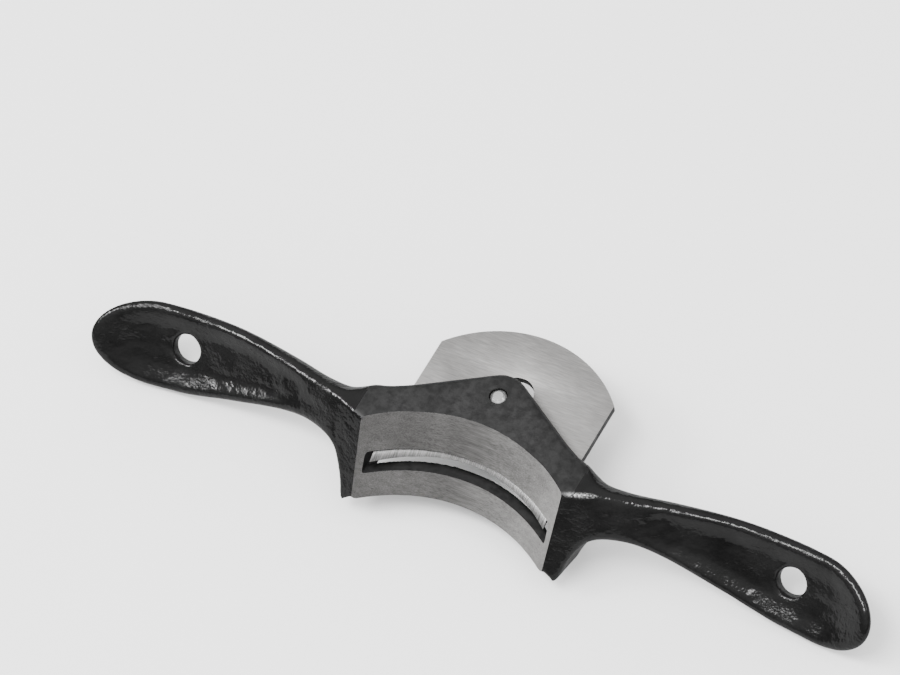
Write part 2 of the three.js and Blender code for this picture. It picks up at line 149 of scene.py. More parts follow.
# Where the casting's own frame lies in the row frame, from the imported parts.
screw_low, screw_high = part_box("cap_screw")
heel_mount = next(m for m in frame["record"]["mounts"] if m["name"] == "heel_face")
ORIGIN = Vector((
    0.0,
    (screw_low.y + screw_high.y) / 2 - SCREW_Y * MM,
    heel_mount["pos_m"][2] - BODY_HEIGHT * MM,
))


# ---- Geometry helpers ----

CLEAR = 40.0  # cutting tools reach this far, past the piece on every side
ARC_STEPS = 64


def depth_at(y, z):
    """How far a point lies behind the sole's corner plane."""
    return y * SIN_PITCH - (z - BODY_HEIGHT) * COS_PITCH


def along_at(y, z):
    """Where a point lies along the sole's straight direction, from the heel corner."""
    return y * COS_PITCH + (z - BODY_HEIGHT) * SIN_PITCH


def sole_depth(x):
    """How deep the hollow sole lies behind its corner plane."""
    return np.sqrt(SOLE_RADIUS ** 2 - np.square(x)) - SOLE_AXIS_DROP


def sole_y(x, z):
    """Where the sole's surface crosses a level plane."""
    return (z - BODY_HEIGHT) * COS_PITCH / SIN_PITCH + sole_depth(x) / SIN_PITCH


def cutting_edge_y(x):
    """The cutter's edge, hollower than the sole and a little proud of it at both ends."""
    hollow = CUTTER_EXTRA_HOLLOW * (1 - (x / CUTTER_HALF_WIDTH) ** 2)
    return float(sole_y(x, CUTTER_LOW_Z)) - CUTTER_PROUD + hollow


def sole_point(x, depth, along):
    """The point with this depth behind the corner plane and this place along the sole."""
    return Vector((
        x,
        depth * SIN_PITCH + along * COS_PITCH,
        BODY_HEIGHT - depth * COS_PITCH + along * SIN_PITCH,
    ))


def through_stations(stations, x):
    """Smooth curve through a few (x, value) stations, for an array of x."""
    xs = np.array([s[0] for s in stations], float)
    ys = np.array([s[1] for s in stations], float)
    slopes = np.empty_like(ys)
    slopes[1:-1] = (ys[2:] - ys[:-2]) / (xs[2:] - xs[:-2])
    slopes[0] = (ys[1] - ys[0]) / (xs[1] - xs[0])
    slopes[-1] = (ys[-1] - ys[-2]) / (xs[-1] - xs[-2])
    x = np.clip(x, xs[0], xs[-1])
    i = np.clip(np.searchsorted(xs, x, side="right") - 1, 0, len(xs) - 2)
    width = xs[i + 1] - xs[i]
    t = (x - xs[i]) / width
    rise = ys[i + 1] - ys[i]
    a = slopes[i] * width - rise
    b = rise - slopes[i + 1] * width
    return ys[i] + t * rise + t * (1 - t) * ((1 - t) * a + t * b)


def smooth_max(a, b, radius):
    """Intersection of two distance fields with a rounded edge."""
    blend = np.maximum(radius - np.abs(a - b), 0.0) / radius
    return np.maximum(a, b) + blend * blend * radius * 0.25


def smooth_min(a, b, radius):
    """Union of two distance fields with a filleted joint."""
    return -smooth_max(-a, -b, radius)


class Grid:
    """A box of sample points for distance fields."""

    def __init__(self, low, high, cell):
        self.cell = cell
        self.low = np.array(low, float)
        counts = np.ceil((np.array(high, float) - self.low) / cell).astype(int) + 1
        axes = [self.low[i] + cell * np.arange(counts[i]) for i in range(3)]
        self.x, self.y, self.z = np.meshgrid(*axes, indexing="ij", sparse=True)

    def true_distance(self, field):
        """Scales a field so that it changes by one per millimetre near its surface."""
        steep = np.sqrt(sum(np.square(g) for g in np.gradient(field, self.cell)))
        return field / np.clip(steep, 0.4, 4.0)

    def surface(self, field):
        """Vertices and quads of the field's zero surface, one vertex for each cell that it crosses."""
        corners = [(i, j, k) for i in (0, 1) for j in (0, 1) for k in (0, 1)]
        shape = tuple(n - 1 for n in field.shape)

        def corner(c):
            return field[c[0]:c[0] + shape[0], c[1]:c[1] + shape[1], c[2]:c[2] + shape[2]]

        inside_count = sum((corner(c) < 0).astype(np.int8) for c in corners)
        cells = np.argwhere((inside_count > 0) & (inside_count < 8))
        number = np.full(shape, -1, np.int64)
        number[tuple(cells.T)] = np.arange(len(cells))
        total = np.zeros((len(cells), 3))
        crossings = np.zeros(len(cells))
        for a in corners:
            for axis in range(3):
                if a[axis]:
                    continue
                b = list(a)
                b[axis] = 1
                va = field[tuple((cells + a).T)]
                vb = field[tuple((cells + b).T)]
                crosses = (va < 0) != (vb < 0)
                t = np.where(crosses, va / np.where(crosses, va - vb, 1.0), 0.0)
                place = np.tile(np.array(a, float), (len(cells), 1))
                place[:, axis] = t
                total += place * crosses[:, None]
                crossings += crosses
        vertices = self.low + self.cell * (cells + total / crossings[:, None])
        quads = []
        for axis in range(3):
            u, v = (axis + 1) % 3, (axis + 2) % 3
            step = np.zeros(3, int)
            step[axis] = 1
            inner = tuple(slice(int(i != axis), n - 1) for i, n in enumerate(field.shape))
            ahead = tuple(slice(s.start + step[i], s.stop + step[i]) for i, s in enumerate(inner))
            here = field[inner] < 0
            there = field[ahead] < 0
            edges = np.argwhere(here != there) + [s.start for s in inner]
            leaving = field[tuple(edges.T)] < 0
            du = np.zeros(3, int)
            du[u] = 1
            dv = np.zeros(3, int)
            dv[v] = 1
            around = [number[tuple((edges - d).T)] for d in (du + dv, dv, 0 * du, du)]
            quad = np.stack(around, axis=1)
            quad[~leaving] = quad[~leaving][:, ::-1]
            quads.append(quad)
        return vertices, np.concatenate(quads)


def mesh_object(name, vertices, faces):
    """A Blender object from millimetre points in the casting's frame."""
    mesh = bpy.data.meshes.new(name)
    points = np.asarray(vertices, float) * MM + np.array(ORIGIN)
    mesh.from_pydata(points.tolist(), [], [list(map(int, f)) for f in faces])
    mesh.update()
    obj = bpy.data.objects.new(name, mesh)
    bpy.context.scene.collection.objects.link(obj)
    return obj


def cut(obj, tool, operation="DIFFERENCE"):
    modifier = obj.modifiers.new("cut", "BOOLEAN")
    modifier.operation = operation
    modifier.solver = "MANIFOLD"
    modifier.object = tool
    apply_modifiers(obj)
    bpy.data.objects.remove(tool)


def apply_modifiers(obj):
    evaluated = obj.evaluated_get(bpy.context.evaluated_depsgraph_get())
    mesh = bpy.data.meshes.new_from_object(evaluated)
    old = obj.data
    obj.modifiers.clear()
    obj.data = mesh
    mesh.name = obj.name
    bpy.data.meshes.remove(old)


def soften_edges(obj, width, segments, least_angle):
    bevel = obj.modifiers.new("edges", "BEVEL")
    bevel.width = width * MM
    bevel.segments = segments
    bevel.limit_method = "ANGLE"
    bevel.angle_limit = least_angle
    apply_modifiers(obj)


def prism(name, outline, z_low, z_high):
    count = len(outline)
    vertices = [(x, y, z_low) for x, y in outline] + [(x, y, z_high) for x, y in outline]
    faces = [tuple(reversed(range(count))), tuple(range(count, 2 * count))]
    faces += [(i, (i + 1) % count, (i + 1) % count + count, i + count) for i in range(count)]
    return mesh_object(name, vertices, faces)


def lathe(name, profile, centre_y, segments, knurl=0.0):
    """Turned solid about the upright line through (0, centre_y). The profile's ends lie on the line.

    A knurl sets every other point of the widest rings back by that much.
    """
    rings = profile[1:-1]
    widest = max(radius for radius, z in rings)
    vertices = [(0.0, centre_y, profile[0][1]), (0.0, centre_y, profile[-1][1])]
    for radius, z in rings:
        for i in range(segments):
            turn = 2 * math.pi * i / segments
            reach = radius - knurl if i % 2 and radius == widest else radius
            vertices.append((reach * math.cos(turn), centre_y + reach * math.sin(turn), z))
    faces = []
    for i in range(segments):
        j = (i + 1) % segments
        faces.append((0, 2 + j, 2 + i))
        last = 2 + (len(rings) - 1) * segments
        faces.append((1, last + i, last + j))
        for r in range(len(rings) - 1):
            a = 2 + r * segments
            faces.append((a + i, a + j, a + segments + j, a + segments + i))
    return mesh_object(name, vertices, faces)


def drill(name, radius, segments):
    """Tool that bores right through, on the screw's axis."""
    profile = [(0, -CLEAR), (radius, -CLEAR), (radius, CLEAR), (0, CLEAR)]
    return lathe(name, profile, SCREW_Y, segments)


def arc_points(centre, radius, start, end, steps):
    turns = np.linspace(start, end, steps + 1)
    return [(centre[0] + radius * math.cos(t), centre[1] + radius * math.sin(t)) for t in turns]


def shade_smooth(obj, sharp_angle):
    obj.data.polygons.foreach_set("use_smooth", [True] * len(obj.data.polygons))
    obj.data.set_sharp_from_angle(angle=sharp_angle)


# ---- Materials ----

class Paint:
    """A node material with its shader, its object coordinates and short ways to add textures."""

    def __init__(self, name, roughness, metallic=0.0):
        self.material = bpy.data.materials.new(name)
        self.material.use_nodes = True
        self.nodes = self.material.node_tree.nodes
        self.links = self.material.node_tree.links
        self.shader = self.nodes["Principled BSDF"]
        self.shader.inputs["Roughness"].default_value = roughness
        self.shader.inputs["Metallic"].default_value = metallic
        self.coordinates = self.nodes.new("ShaderNodeTexCoord").outputs["Object"]

    def mapping(self, scale, turn=(0, 0, 0)):
        node = self.nodes.new("ShaderNodeMapping")
        node.inputs["Scale"].default_value = scale
        node.inputs["Rotation"].default_value = turn
        self.links.new(self.coordinates, node.inputs["Vector"])
        return node.outputs["Vector"]

    def noise(self, scale, detail=4.0, roughness=0.55, vector=None, distortion=0.0):
        node = self.nodes.new("ShaderNodeTexNoise")
        node.inputs["Scale"].default_value = scale
        node.inputs["Detail"].default_value = detail
        node.inputs["Roughness"].default_value = roughness
        node.inputs["Distortion"].default_value = distortion
        self.links.new(vector or self.coordinates, node.inputs["Vector"])
        return node.outputs["Fac"]

    def ramp(self, value, stops):
        node = self.nodes.new("ShaderNodeValToRGB")
        elements = node.color_ramp.elements
        while len(elements) < len(stops):
            elements.new(0.5)
        for element, (position, colour) in zip(elements, stops):
            element.position = position
            element.color = (*colour, 1.0) if len(colour) == 3 else colour
        self.links.new(value, node.inputs["Fac"])
        return node.outputs["Color"]

    def spread(self, value, low, high, out_low, out_high):
        node = self.nodes.new("ShaderNodeMapRange")
        limits = {"From Min": low, "From Max": high, "To Min": out_low, "To Max": out_high}
        for socket, number in limits.items():
            node.inputs[socket].default_value = number
        self.links.new(value, node.inputs["Value"])
        return node.outputs["Result"]

    def mix(self, factor, a, b, kind="MIX"):
        node = self.nodes.new("ShaderNodeMix")
        node.data_type = "RGBA"
        node.blend_type = kind
        for socket, value in ((node.inputs["Factor"], factor), (node.inputs[6], a), (node.inputs[7], b)):
            if isinstance(value, (int, float)):
                socket.default_value = value
            elif isinstance(value, tuple):
                socket.default_value = (*value, 1.0)
            else:
                self.links.new(value, socket)
        return node.outputs[2]

    def multiply(self, a, b):
        node = self.nodes.new("ShaderNodeMath")
        node.operation = "MULTIPLY"
        self.links.new(a, node.inputs[0])
        self.links.new(b, node.inputs[1])
        return node.outputs["Value"]

    def worn(self, colour):
        """Bare metal showing through in specks where the mesh is marked as worn."""
        mark = self.nodes.new("ShaderNodeAttribute")
        mark.attribute_name = "wear"
        specks = self.spread(self.noise(1500.0), 0.4, 0.65, 0.0, 1.3)
        return self.mix(self.multiply(mark.outputs["Fac"], specks), colour, grey(0.6))

    def across(self, low, high, out_low, out_high):
        """A value that changes along the tool's length."""
        node = self.nodes.new("ShaderNodeSeparateXYZ")
        self.links.new(self.coordinates, node.inputs["Vector"])
        return self.spread(node.outputs["X"], low, high, out_low, out_high)

    def bump(self, height, strength, distance, below=None):
        node = self.nodes.new("ShaderNodeBump")
        node.inputs["Strength"].default_value = strength
        node.inputs["Distance"].default_value = distance
        self.links.new(height, node.inputs["Height"])
        if below is not None:
            self.links.new(below, node.inputs["Normal"])
        return node.outputs["Normal"]

    def into(self, socket, value):
        self.links.new(value, self.shader.inputs[socket])


def grey(level, warmth=0.0):
    return (level * (1 + warmth), level, level * (1 - warmth))


def enamel_material():
    """Thick glossy black enamel over a lumpy casting, crinkled in patches."""
    paint = Paint("black_enamel", 0.12)
    ripples = paint.noise(420.0, 2.0, 0.5)
    crinkle = paint.noise(1100.0, 3.0, 0.6)
    tone = paint.noise(70.0, 4.0)
    patches = paint.noise(95.0, 2.0)
    paint.into("Base Color", paint.worn(paint.ramp(tone, [(0.3, grey(0.003)), (0.75, grey(0.008))])))
    paint.into("Roughness", paint.spread(crinkle, 0.3, 0.7, 0.08, 0.2))
    normal = paint.bump(ripples, 0.5, 0.0005)
    rough_height = paint.multiply(crinkle, paint.spread(patches, 0.45, 0.65, 0.15, 1.0))
    paint.into("Normal", paint.bump(rough_height, 0.8, 0.0003, normal))
    paint.shader.inputs["Specular IOR Level"].default_value = 0.4
    return paint.material


def satin_material(name="satin_enamel", low=0.006, high=0.016):
    """Thin, dull black coat, mottled where it is worn."""
    paint = Paint(name, 0.5)
    mottle = paint.noise(420.0, 6.0, 0.7)
    cloud = paint.noise(75.0, 3.0)
    colour = paint.ramp(mottle, [(0.38, grey(low)), (0.62, grey(high))])
    shade = paint.ramp(cloud, [(0.35, grey(0.6)), (0.6, grey(1.0))])
    colour = paint.mix(1.0, colour, shade, "MULTIPLY")
    paint.into("Base Color", paint.worn(colour))
    paint.into("Roughness", paint.spread(mottle, 0.3, 0.7, 0.36, 0.55))
    paint.into("Normal", paint.bump(paint.noise(1400.0, 4.0, 0.6), 0.3, 0.0002))
    paint.shader.inputs["Specular IOR Level"].default_value = 0.4
    return paint.material


def machined_material():
    """Milled iron sole: fine streaks along the hollow, with painted shade darkening it towards one side."""
    paint = Paint("machined_iron", 0.38, 0.85)
    turned = (SOLE_PITCH, 0.0, 0.0)
    streaks = paint.noise(1.0, 5.0, 0.75, paint.mapping((130.0, 5200.0, 5200.0), turned))
    broad = paint.noise(1.0, 3.0, 0.6, paint.mapping((60.0, 900.0, 900.0), turned))
    cloud = paint.noise(60.0, 3.0, 0.5)
    colour = paint.ramp(streaks, [(0.35, grey(0.2, 0.02)), (0.65, grey(0.64, 0.02))])
    colour = paint.mix(0.35, colour, paint.ramp(broad, [(0.35, grey(0.2, 0.02)), (0.65, grey(0.45, 0.02))]))
    shade = paint.ramp(cloud, [(0.35, grey(0.7)), (0.65, grey(1.0))])
    colour = paint.mix(1.0, colour, shade, "MULTIPLY")
    # Painted shade: the base colour is darkened towards negative X, standing in for the shade across the
    # hollow sole.
    place = paint.across(-0.03, 0.02, 0.0, 1.0)
    sole_painted_shade = paint.ramp(place, [(0.0, grey(0.55)), (0.45, grey(0.6)), (1.0, grey(1.0))])
    paint.into("Base Color", paint.mix(1.0, colour, sole_painted_shade, "MULTIPLY"))
    paint.into("Roughness", paint.spread(streaks, 0.2, 0.8, 0.3, 0.5))
    paint.into("Normal", paint.bump(streaks, 0.3, 0.00008))
    return paint.material


def ground_steel_material():
    """Surface-ground cutter steel with fine slanting grain."""
    paint = Paint("ground_steel", 0.5, 0.9)
    turned = (0.0, 0.0, math.radians(35))
    grain = paint.noise(1.0, 4.0, 0.65, paint.mapping((220.0, 4200.0, 600.0), turned))
    cloud = paint.noise(45.0, 3.0, 0.5)
    colour = paint.ramp(grain, [(0.3, grey(0.34, 0.02)), (0.7, grey(0.54, 0.02))])
    shade = paint.ramp(cloud, [(0.3, grey(0.9)), (0.7, grey(1.0))])
    paint.into("Base Color", paint.mix(1.0, colour, shade, "MULTIPLY"))
    paint.into("Roughness", paint.spread(grain, 0.3, 0.7, 0.44, 0.56))
    paint.into("Normal", paint.bump(grain, 0.15, 0.00006))
    return paint.material


def bevel_material():
    """The cutter's ground and honed bevel, with fine lines square to the edge."""
    paint = Paint("honed_bevel", 0.3, 0.95)
    lines = paint.noise(1.0, 3.0, 0.6, paint.mapping((4200.0, 260.0, 260.0)))
    paint.into("Base Color", paint.ramp(lines, [(0.35, grey(0.14, 0.01)), (0.65, grey(0.34, 0.01))]))
    paint.into("Roughness", paint.spread(lines, 0.3, 0.7, 0.32, 0.46))
    paint.into("Normal", paint.bump(lines, 0.15, 0.00005))
    return paint.material


def screw_material():
    """Turned bright steel with fine tool marks."""
    paint = Paint("screw_steel", 0.28, 0.95)
    marks = paint.noise(1.0, 2.0, 0.6, paint.mapping((200.0, 200.0, 6000.0)))
    paint.into("Base Color", paint.ramp(marks, [(0.3, grey(0.82)), (0.7, grey(0.95))]))
    paint.into("Roughness", paint.spread(marks, 0.3, 0.7, 0.2, 0.36))
    paint.into("Normal", paint.bump(marks, 0.1, 0.00005))
    return paint.material


# ---- Body casting ----

CASTING_CELL = 0.5
GRID_LOW = (-127, -19, -11)
GRID_HIGH = (127, 33, 25)
BED_FRONT_Y = -17.5
HANDLE_START_X = 28.0
BED_EDGE_ROUND = 4.0
TOE_EDGE_ROUND = 1.0
HEEL_FACE_ROUND = 1.0
ROOT_FACE_ROUND = 0.8
HANGING_HOLE_ROUND = 0.9
HANDLE_EDGE_ROUND = 2.0
HANDLE_RIM_ROUND = 3.2
RIM_FLAT = 1.2
DISH_WALL = 0.55     # share of the half width over which the dish reaches its depth
BACK_CROWN = 0.12
RELAX_STEPS = 7
SOLE_TOOL_ENDS = (-60.0, 40.0)
SOLE_TOOL_SEGMENTS = 360
LUMP_SEED = 7
LUMP_HEIGHT = 0.035
LUMP_WAVELENGTHS = (19.0, 15.0, 12.0, 10.0, 8.5, 7.5, 6.5, 5.8, 5.2, 4.7, 4.3, 4.0)
JOINT_FILLET = 11.0
WEAR_WIDTH = 0.8
WEAR_END_X = 50.0
LEVEL_NORMAL = 0.85      # upward part of a normal above which a face counts as the heel face
SATIN_HALF_WIDTH = CHEEK_X + 2
THROAT_HALF_WIDTH = MOUTH_HALF_WIDTH + 0.5
THROAT_TOP_Z = BED_Z + 0.4
ON_SOLE = 0.02


def lumps(grid):
    """Gentle unevenness of sand-cast iron under thick enamel, as a few crossing waves."""
    waves = np.random.default_rng(LUMP_SEED)
    total = 0.0
    for wavelength in LUMP_WAVELENGTHS:
        x, y, z = waves.normal(size=3)
        per_mm = 2 * math.pi / wavelength / math.hypot(x, y, z)
        phase = waves.uniform(0, 2 * math.pi)
        travel = (grid.x * x + grid.y * y + grid.z * z) * per_mm
        total = total + LUMP_HEIGHT * np.sin(travel + phase)
    return total


def handle_field(grid):
    """Both handles: a rounded slab on the sole's slant, dished on the sole side between raised rims."""
    side = np.abs(grid.x)
    depth = depth_at(grid.y, grid.z)
    along = along_at(grid.y, grid.z)
    centre = through_stations(FACE_CENTRE, side)
    half_width = through_stations(FACE_HALF_WIDTH, side)
    face = through_stations(FACE_DEPTH, side)
    thickness = through_stations(HANDLE_THICKNESS, side)
    beyond = np.maximum(side - TIP_ROUND_START_X, 0) / (HANDLE_TIP_X - TIP_ROUND_START_X)
    across = (along - centre) / half_width
    reach = np.sqrt(beyond ** 2 + across ** 2)
    rim_distance = (reach - 1) * half_width
    dish = through_stations(DISH_DEPTH, side)
    inside = np.clip((-rim_distance - RIM_FLAT) / (half_width * DISH_WALL), 0, 1)
    bowl = dish * inside * inside * (3 - 2 * inside)
    front = face + bowl + lumps(grid) * inside - depth
    back_crown = BACK_CROWN * np.square(along - centre) / half_width
    back = depth - (face + thickness) + back_crown
    slab = smooth_max(front, back, HANDLE_EDGE_ROUND)
    slab = smooth_max(slab, rim_distance, HANDLE_RIM_ROUND)
    slab = np.maximum(slab, HANDLE_START_X - side)
    return grid.true_distance(slab.astype(np.float32))


def bed_field(grid):
    """The bed plate with its cheeks, rounded about the screw at the back."""
    side = np.abs(grid.x)
    level = grid.y - SCREW_Y
    off_edge = side * math.sin(BED_EDGE_ANGLE) + level * math.cos(BED_EDGE_ANGLE)
    along_edge = side * math.cos(BED_EDGE_ANGLE) - level * math.sin(BED_EDGE_ANGLE)
    round_corner = np.where(along_edge < 0, np.hypot(side, level), off_edge) - BOSS_RADIUS
    top = grid.z - BODY_HEIGHT
    bed = smooth_max(round_corner, top, BED_EDGE_ROUND)
    bed = smooth_max(bed, side - CHEEK_X, BED_EDGE_ROUND)
    bed = smooth_max(bed, -grid.z, TOE_EDGE_ROUND)
    return np.maximum(bed, BED_FRONT_Y - grid.y)


def throat_field(grid):
    """The open way under the bed and through the mouth."""
    behind_bar = (sole_y(np.minimum(np.abs(grid.x), SOLE_HALF_WIDTH), MOUTH_LOW_Z) + TOE_BAR_DEPTH) - grid.y
    under_bed = grid.z - BED_Z
    between = np.abs(grid.x) - MOUTH_HALF_WIDTH
    open_back = np.maximum(np.maximum(behind_bar, under_bed), between)
    mouth = np.maximum(np.maximum(MOUTH_LOW_Z - grid.z, under_bed), between)
    return np.minimum(open_back, mouth)


def root_face_field(grid):
    """In front of the flat faces that run from the sole's side edges into the handles."""
    depth = depth_at(grid.y, grid.z)
    along = along_at(grid.y, grid.z)
    edge = SOLE_HALF_WIDTH + TOE_NARROWING * along * SIN_PITCH / BODY_HEIGHT
    beyond = np.minimum(np.abs(grid.x) - edge, ROOT_FACE_REACH)
    return (depth - sole_depth(edge) - beyond * ROOT_FACE_SLOPE) / math.hypot(1, ROOT_FACE_SLOPE)


def toe_side_field(grid):
    """Below the toe side, which is level across the sole and falls away under the handles."""
    falling = np.clip(np.abs(grid.x) - TOE_LEVEL_X, 0, TOE_FALL_REACH)
    return (grid.z + falling * TOE_FALL) / math.hypot(1, TOE_FALL)


def hanging_hole_field(grid):
    along = along_at(grid.y, grid.z)
    centre = through_stations(FACE_CENTRE, np.array(HOLE_X)) + HOLE_RAISED
    return np.hypot(np.abs(grid.x) - HOLE_X, along - centre) - HOLE_RADIUS


def make_casting():
    grid = Grid(GRID_LOW, GRID_HIGH, CASTING_CELL)
    field = smooth_min(handle_field(grid), bed_field(grid), JOINT_FILLET)
    field = smooth_max(field, grid.z - BODY_HEIGHT, HEEL_FACE_ROUND)
    field = np.maximum(field, -toe_side_field(grid))
    field = smooth_max(field, -root_face_field(grid), ROOT_FACE_ROUND)
    field = np.maximum(field, -throat_field(grid))
    field = smooth_max(field, -hanging_hole_field(grid), HANGING_HOLE_ROUND)
    vertices, quads = grid.surface(field)
    casting = mesh_object("casting_visual", vertices, quads)
    relax = casting.modifiers.new("relax", "SMOOTH")
    relax.factor = 0.5
    relax.iterations = RELAX_STEPS
    apply_modifiers(casting)
    cut(casting, cylinder_tool())
    cut(casting, drill("bored", SCREW_HOLE_RADIUS, ARC_STEPS))
    return casting


def cylinder_tool():
    """The milling cutter's cylinder that leaves the hollow sole."""
    segments = SOLE_TOOL_SEGMENTS
    vertices = []
    for along in SOLE_TOOL_ENDS:
        for i in range(segments):
            turn = 2 * math.pi * i / segments
            vertices.append(tuple(sole_point(
                SOLE_RADIUS * math.sin(turn),
                -SOLE_AXIS_DROP + SOLE_RADIUS * math.cos(turn),
                along,
            )))
    faces = [tuple(range(segments)), tuple(reversed(range(segments, 2 * segments)))]
    for i in range(segments):
        j = (i + 1) % segments
        faces.append((i, i + segments, j + segments, j))
    return mesh_object("sole_tool", vertices, faces)


def paint_casting(casting):
    """Machined iron on the sole, satin on the bed, a darker satin as painted shade in the throat and glossy
    enamel elsewhere.
    """
    mesh = casting.data
    mesh.materials.clear()
    # The throat's darker satin is painted shade, standing in for the shade under the bed and inside the
    # mouth.
    throat_shade = satin_material("throat_painted_shade", 0.002, 0.008)
    for material in (enamel_material(), satin_material(), machined_material(), throat_shade):
        mesh.materials.append(material)
    count = len(mesh.polygons)
    centres = np.empty(count * 3)
    mesh.polygons.foreach_get("center", centres)
    centres = (centres.reshape(-1, 3) - np.array(ORIGIN)) / MM
    depth = depth_at(centres[:, 1], centres[:, 2])
    off_axis = np.hypot(centres[:, 0], depth + SOLE_AXIS_DROP)
    slots = np.zeros(count, np.int32)
    normals = np.empty(count * 3)
    mesh.polygons.foreach_get("normal", normals)
    side = np.abs(centres[:, 0])
    slots[(side < SATIN_HALF_WIDTH) & (normals[2::3] > LEVEL_NORMAL)] = 1
    slots[side < THROAT_HALF_WIDTH] = 1
    # Painted shade: faces in the throat below the bed get the darker satin.
    slots[(side < THROAT_HALF_WIDTH) & (centres[:, 2] < THROAT_TOP_Z)] = 3
    slots[(np.abs(off_axis - SOLE_RADIUS) < ON_SOLE) & (side < SATIN_HALF_WIDTH)] = 2
    mesh.polygons.foreach_set("material_index", slots)
    mark_wear(mesh)


def mark_wear(mesh):
    """Marks the rubbed ridge where the right handle's root meets the heel face."""
    count = len(mesh.vertices)
    points = np.empty(count * 3)
    mesh.vertices.foreach_get("co", points)
    x, y, z = ((points.reshape(-1, 3) - np.array(ORIGIN)) / MM).T
    depth = depth_at(y, z)
    off_face = depth - ROOT_FACE_SLOPE * np.clip(x - SOLE_HALF_WIDTH, 0, ROOT_FACE_REACH)
    near = np.clip(WEAR_WIDTH - np.hypot(off_face, z - BODY_HEIGHT), 0, WEAR_WIDTH) / WEAR_WIDTH
    along = np.clip((x - SOLE_HALF_WIDTH) / 2, 0, 1) * np.clip((WEAR_END_X - x) / 4, 0, 1)
    wear = mesh.attributes.new("wear", "FLOAT", "POINT")
    wear.data.foreach_set("value", near * along)


# ---- Cutter ----

CUTTER_STEPS = 96
CUTTER_EDGE_SOFTENING = 0.08
CUTTER_SOFTENED_ANGLE = math.radians(50)
UPRIGHT_NORMAL = 0.2     # upward part of a normal below which a face is a side wall, given the dark satin of painted shade
FLAT_NORMAL = 0.98       # and above which it is one of the broad faces


def cutter_outline(setback):
    steps = CUTTER_STEPS
    points = []
    for i in range(steps + 1):
        x = CUTTER_HALF_WIDTH * (2 * i / steps - 1)
        points.append((x, cutting_edge_y(x) + setback))
    centre_y = CUTTER_CORNER_Y - math.sqrt(CUTTER_BACK_RADIUS ** 2 - CUTTER_HALF_WIDTH ** 2)
    reach = math.acos(CUTTER_HALF_WIDTH / CUTTER_BACK_RADIUS)
    return points + arc_points((0.0, centre_y), CUTTER_BACK_RADIUS, reach, math.pi - reach, steps)


def make_cutter():
    edge = cutter_outline(0.0)
    heel = cutter_outline(CUTTER_THICKNESS / math.tan(CUTTER_BEVEL))
    count = len(edge)
    vertices = [(x, y, CUTTER_LOW_Z) for x, y in edge] + [(x, y, CUTTER_TOP_Z) for x, y in heel]
    faces = [tuple(reversed(range(count))), tuple(range(count, 2 * count))]
    faces += [(i, (i + 1) % count, (i + 1) % count + count, i + count) for i in range(count)]
    cutter = mesh_object("cutter_visual", vertices, faces)
    slot = arc_points((0.0, SLOT_FAR_Y), SLOT_RADIUS, 0.0, math.pi, ARC_STEPS // 2)
    slot += arc_points((0.0, SLOT_NEAR_Y), SLOT_RADIUS, math.pi, 2 * math.pi, ARC_STEPS // 2)
    cut(cutter, prism("slot", slot, -CLEAR, CLEAR))
    mesh = cutter.data
    mesh.materials.clear()
    mesh.materials.append(ground_steel_material())
    mesh.materials.append(bevel_material())
    # The side walls, round the slot and along the outer edges, get a dark satin as painted shade in place of
    # the shade that falls on these walls.
    mesh.materials.append(satin_material("cutter_wall_painted_shade", 0.02, 0.06))
    for polygon in mesh.polygons:
        steepness = abs(polygon.normal.z)
        if steepness < UPRIGHT_NORMAL:
            polygon.material_index = 2
        elif steepness < FLAT_NORMAL:
            polygon.material_index = 1
    soften_edges(cutter, CUTTER_EDGE_SOFTENING, 2, CUTTER_SOFTENED_ANGLE)
    return cutter


# ---- Lever cap ----

CAP_STEPS = 64
CAP_CORNER_STEPS = 24
CAP_BORE_STEPS = 48
CAP_EDGE_SOFTENING = 0.4
CAP_SOFTENED_ANGLE = math.radians(40)


def cap_outline(extra):
    points = []
    for i in range(CAP_STEPS + 1):
        x = CAP_HALF_WIDTH * (2 * i / CAP_STEPS - 1)
        points.append((x, cutting_edge_y(x) + CAP_SETBACK + extra))
    side = math.atan2(CAP_SIDE_END_Y - SCREW_Y, CAP_HALF_WIDTH)
    reach = math.acos(BOSS_RADIUS / math.hypot(CAP_HALF_WIDTH, SCREW_Y - CAP_SIDE_END_Y))
    points.append((CAP_HALF_WIDTH, CAP_SIDE_END_Y))
    points += arc_points((0.0, SCREW_Y), BOSS_RADIUS, side + reach, math.pi - side - reach, CAP_CORNER_STEPS)
    points.append((-CAP_HALF_WIDTH, CAP_SIDE_END_Y))
    return points


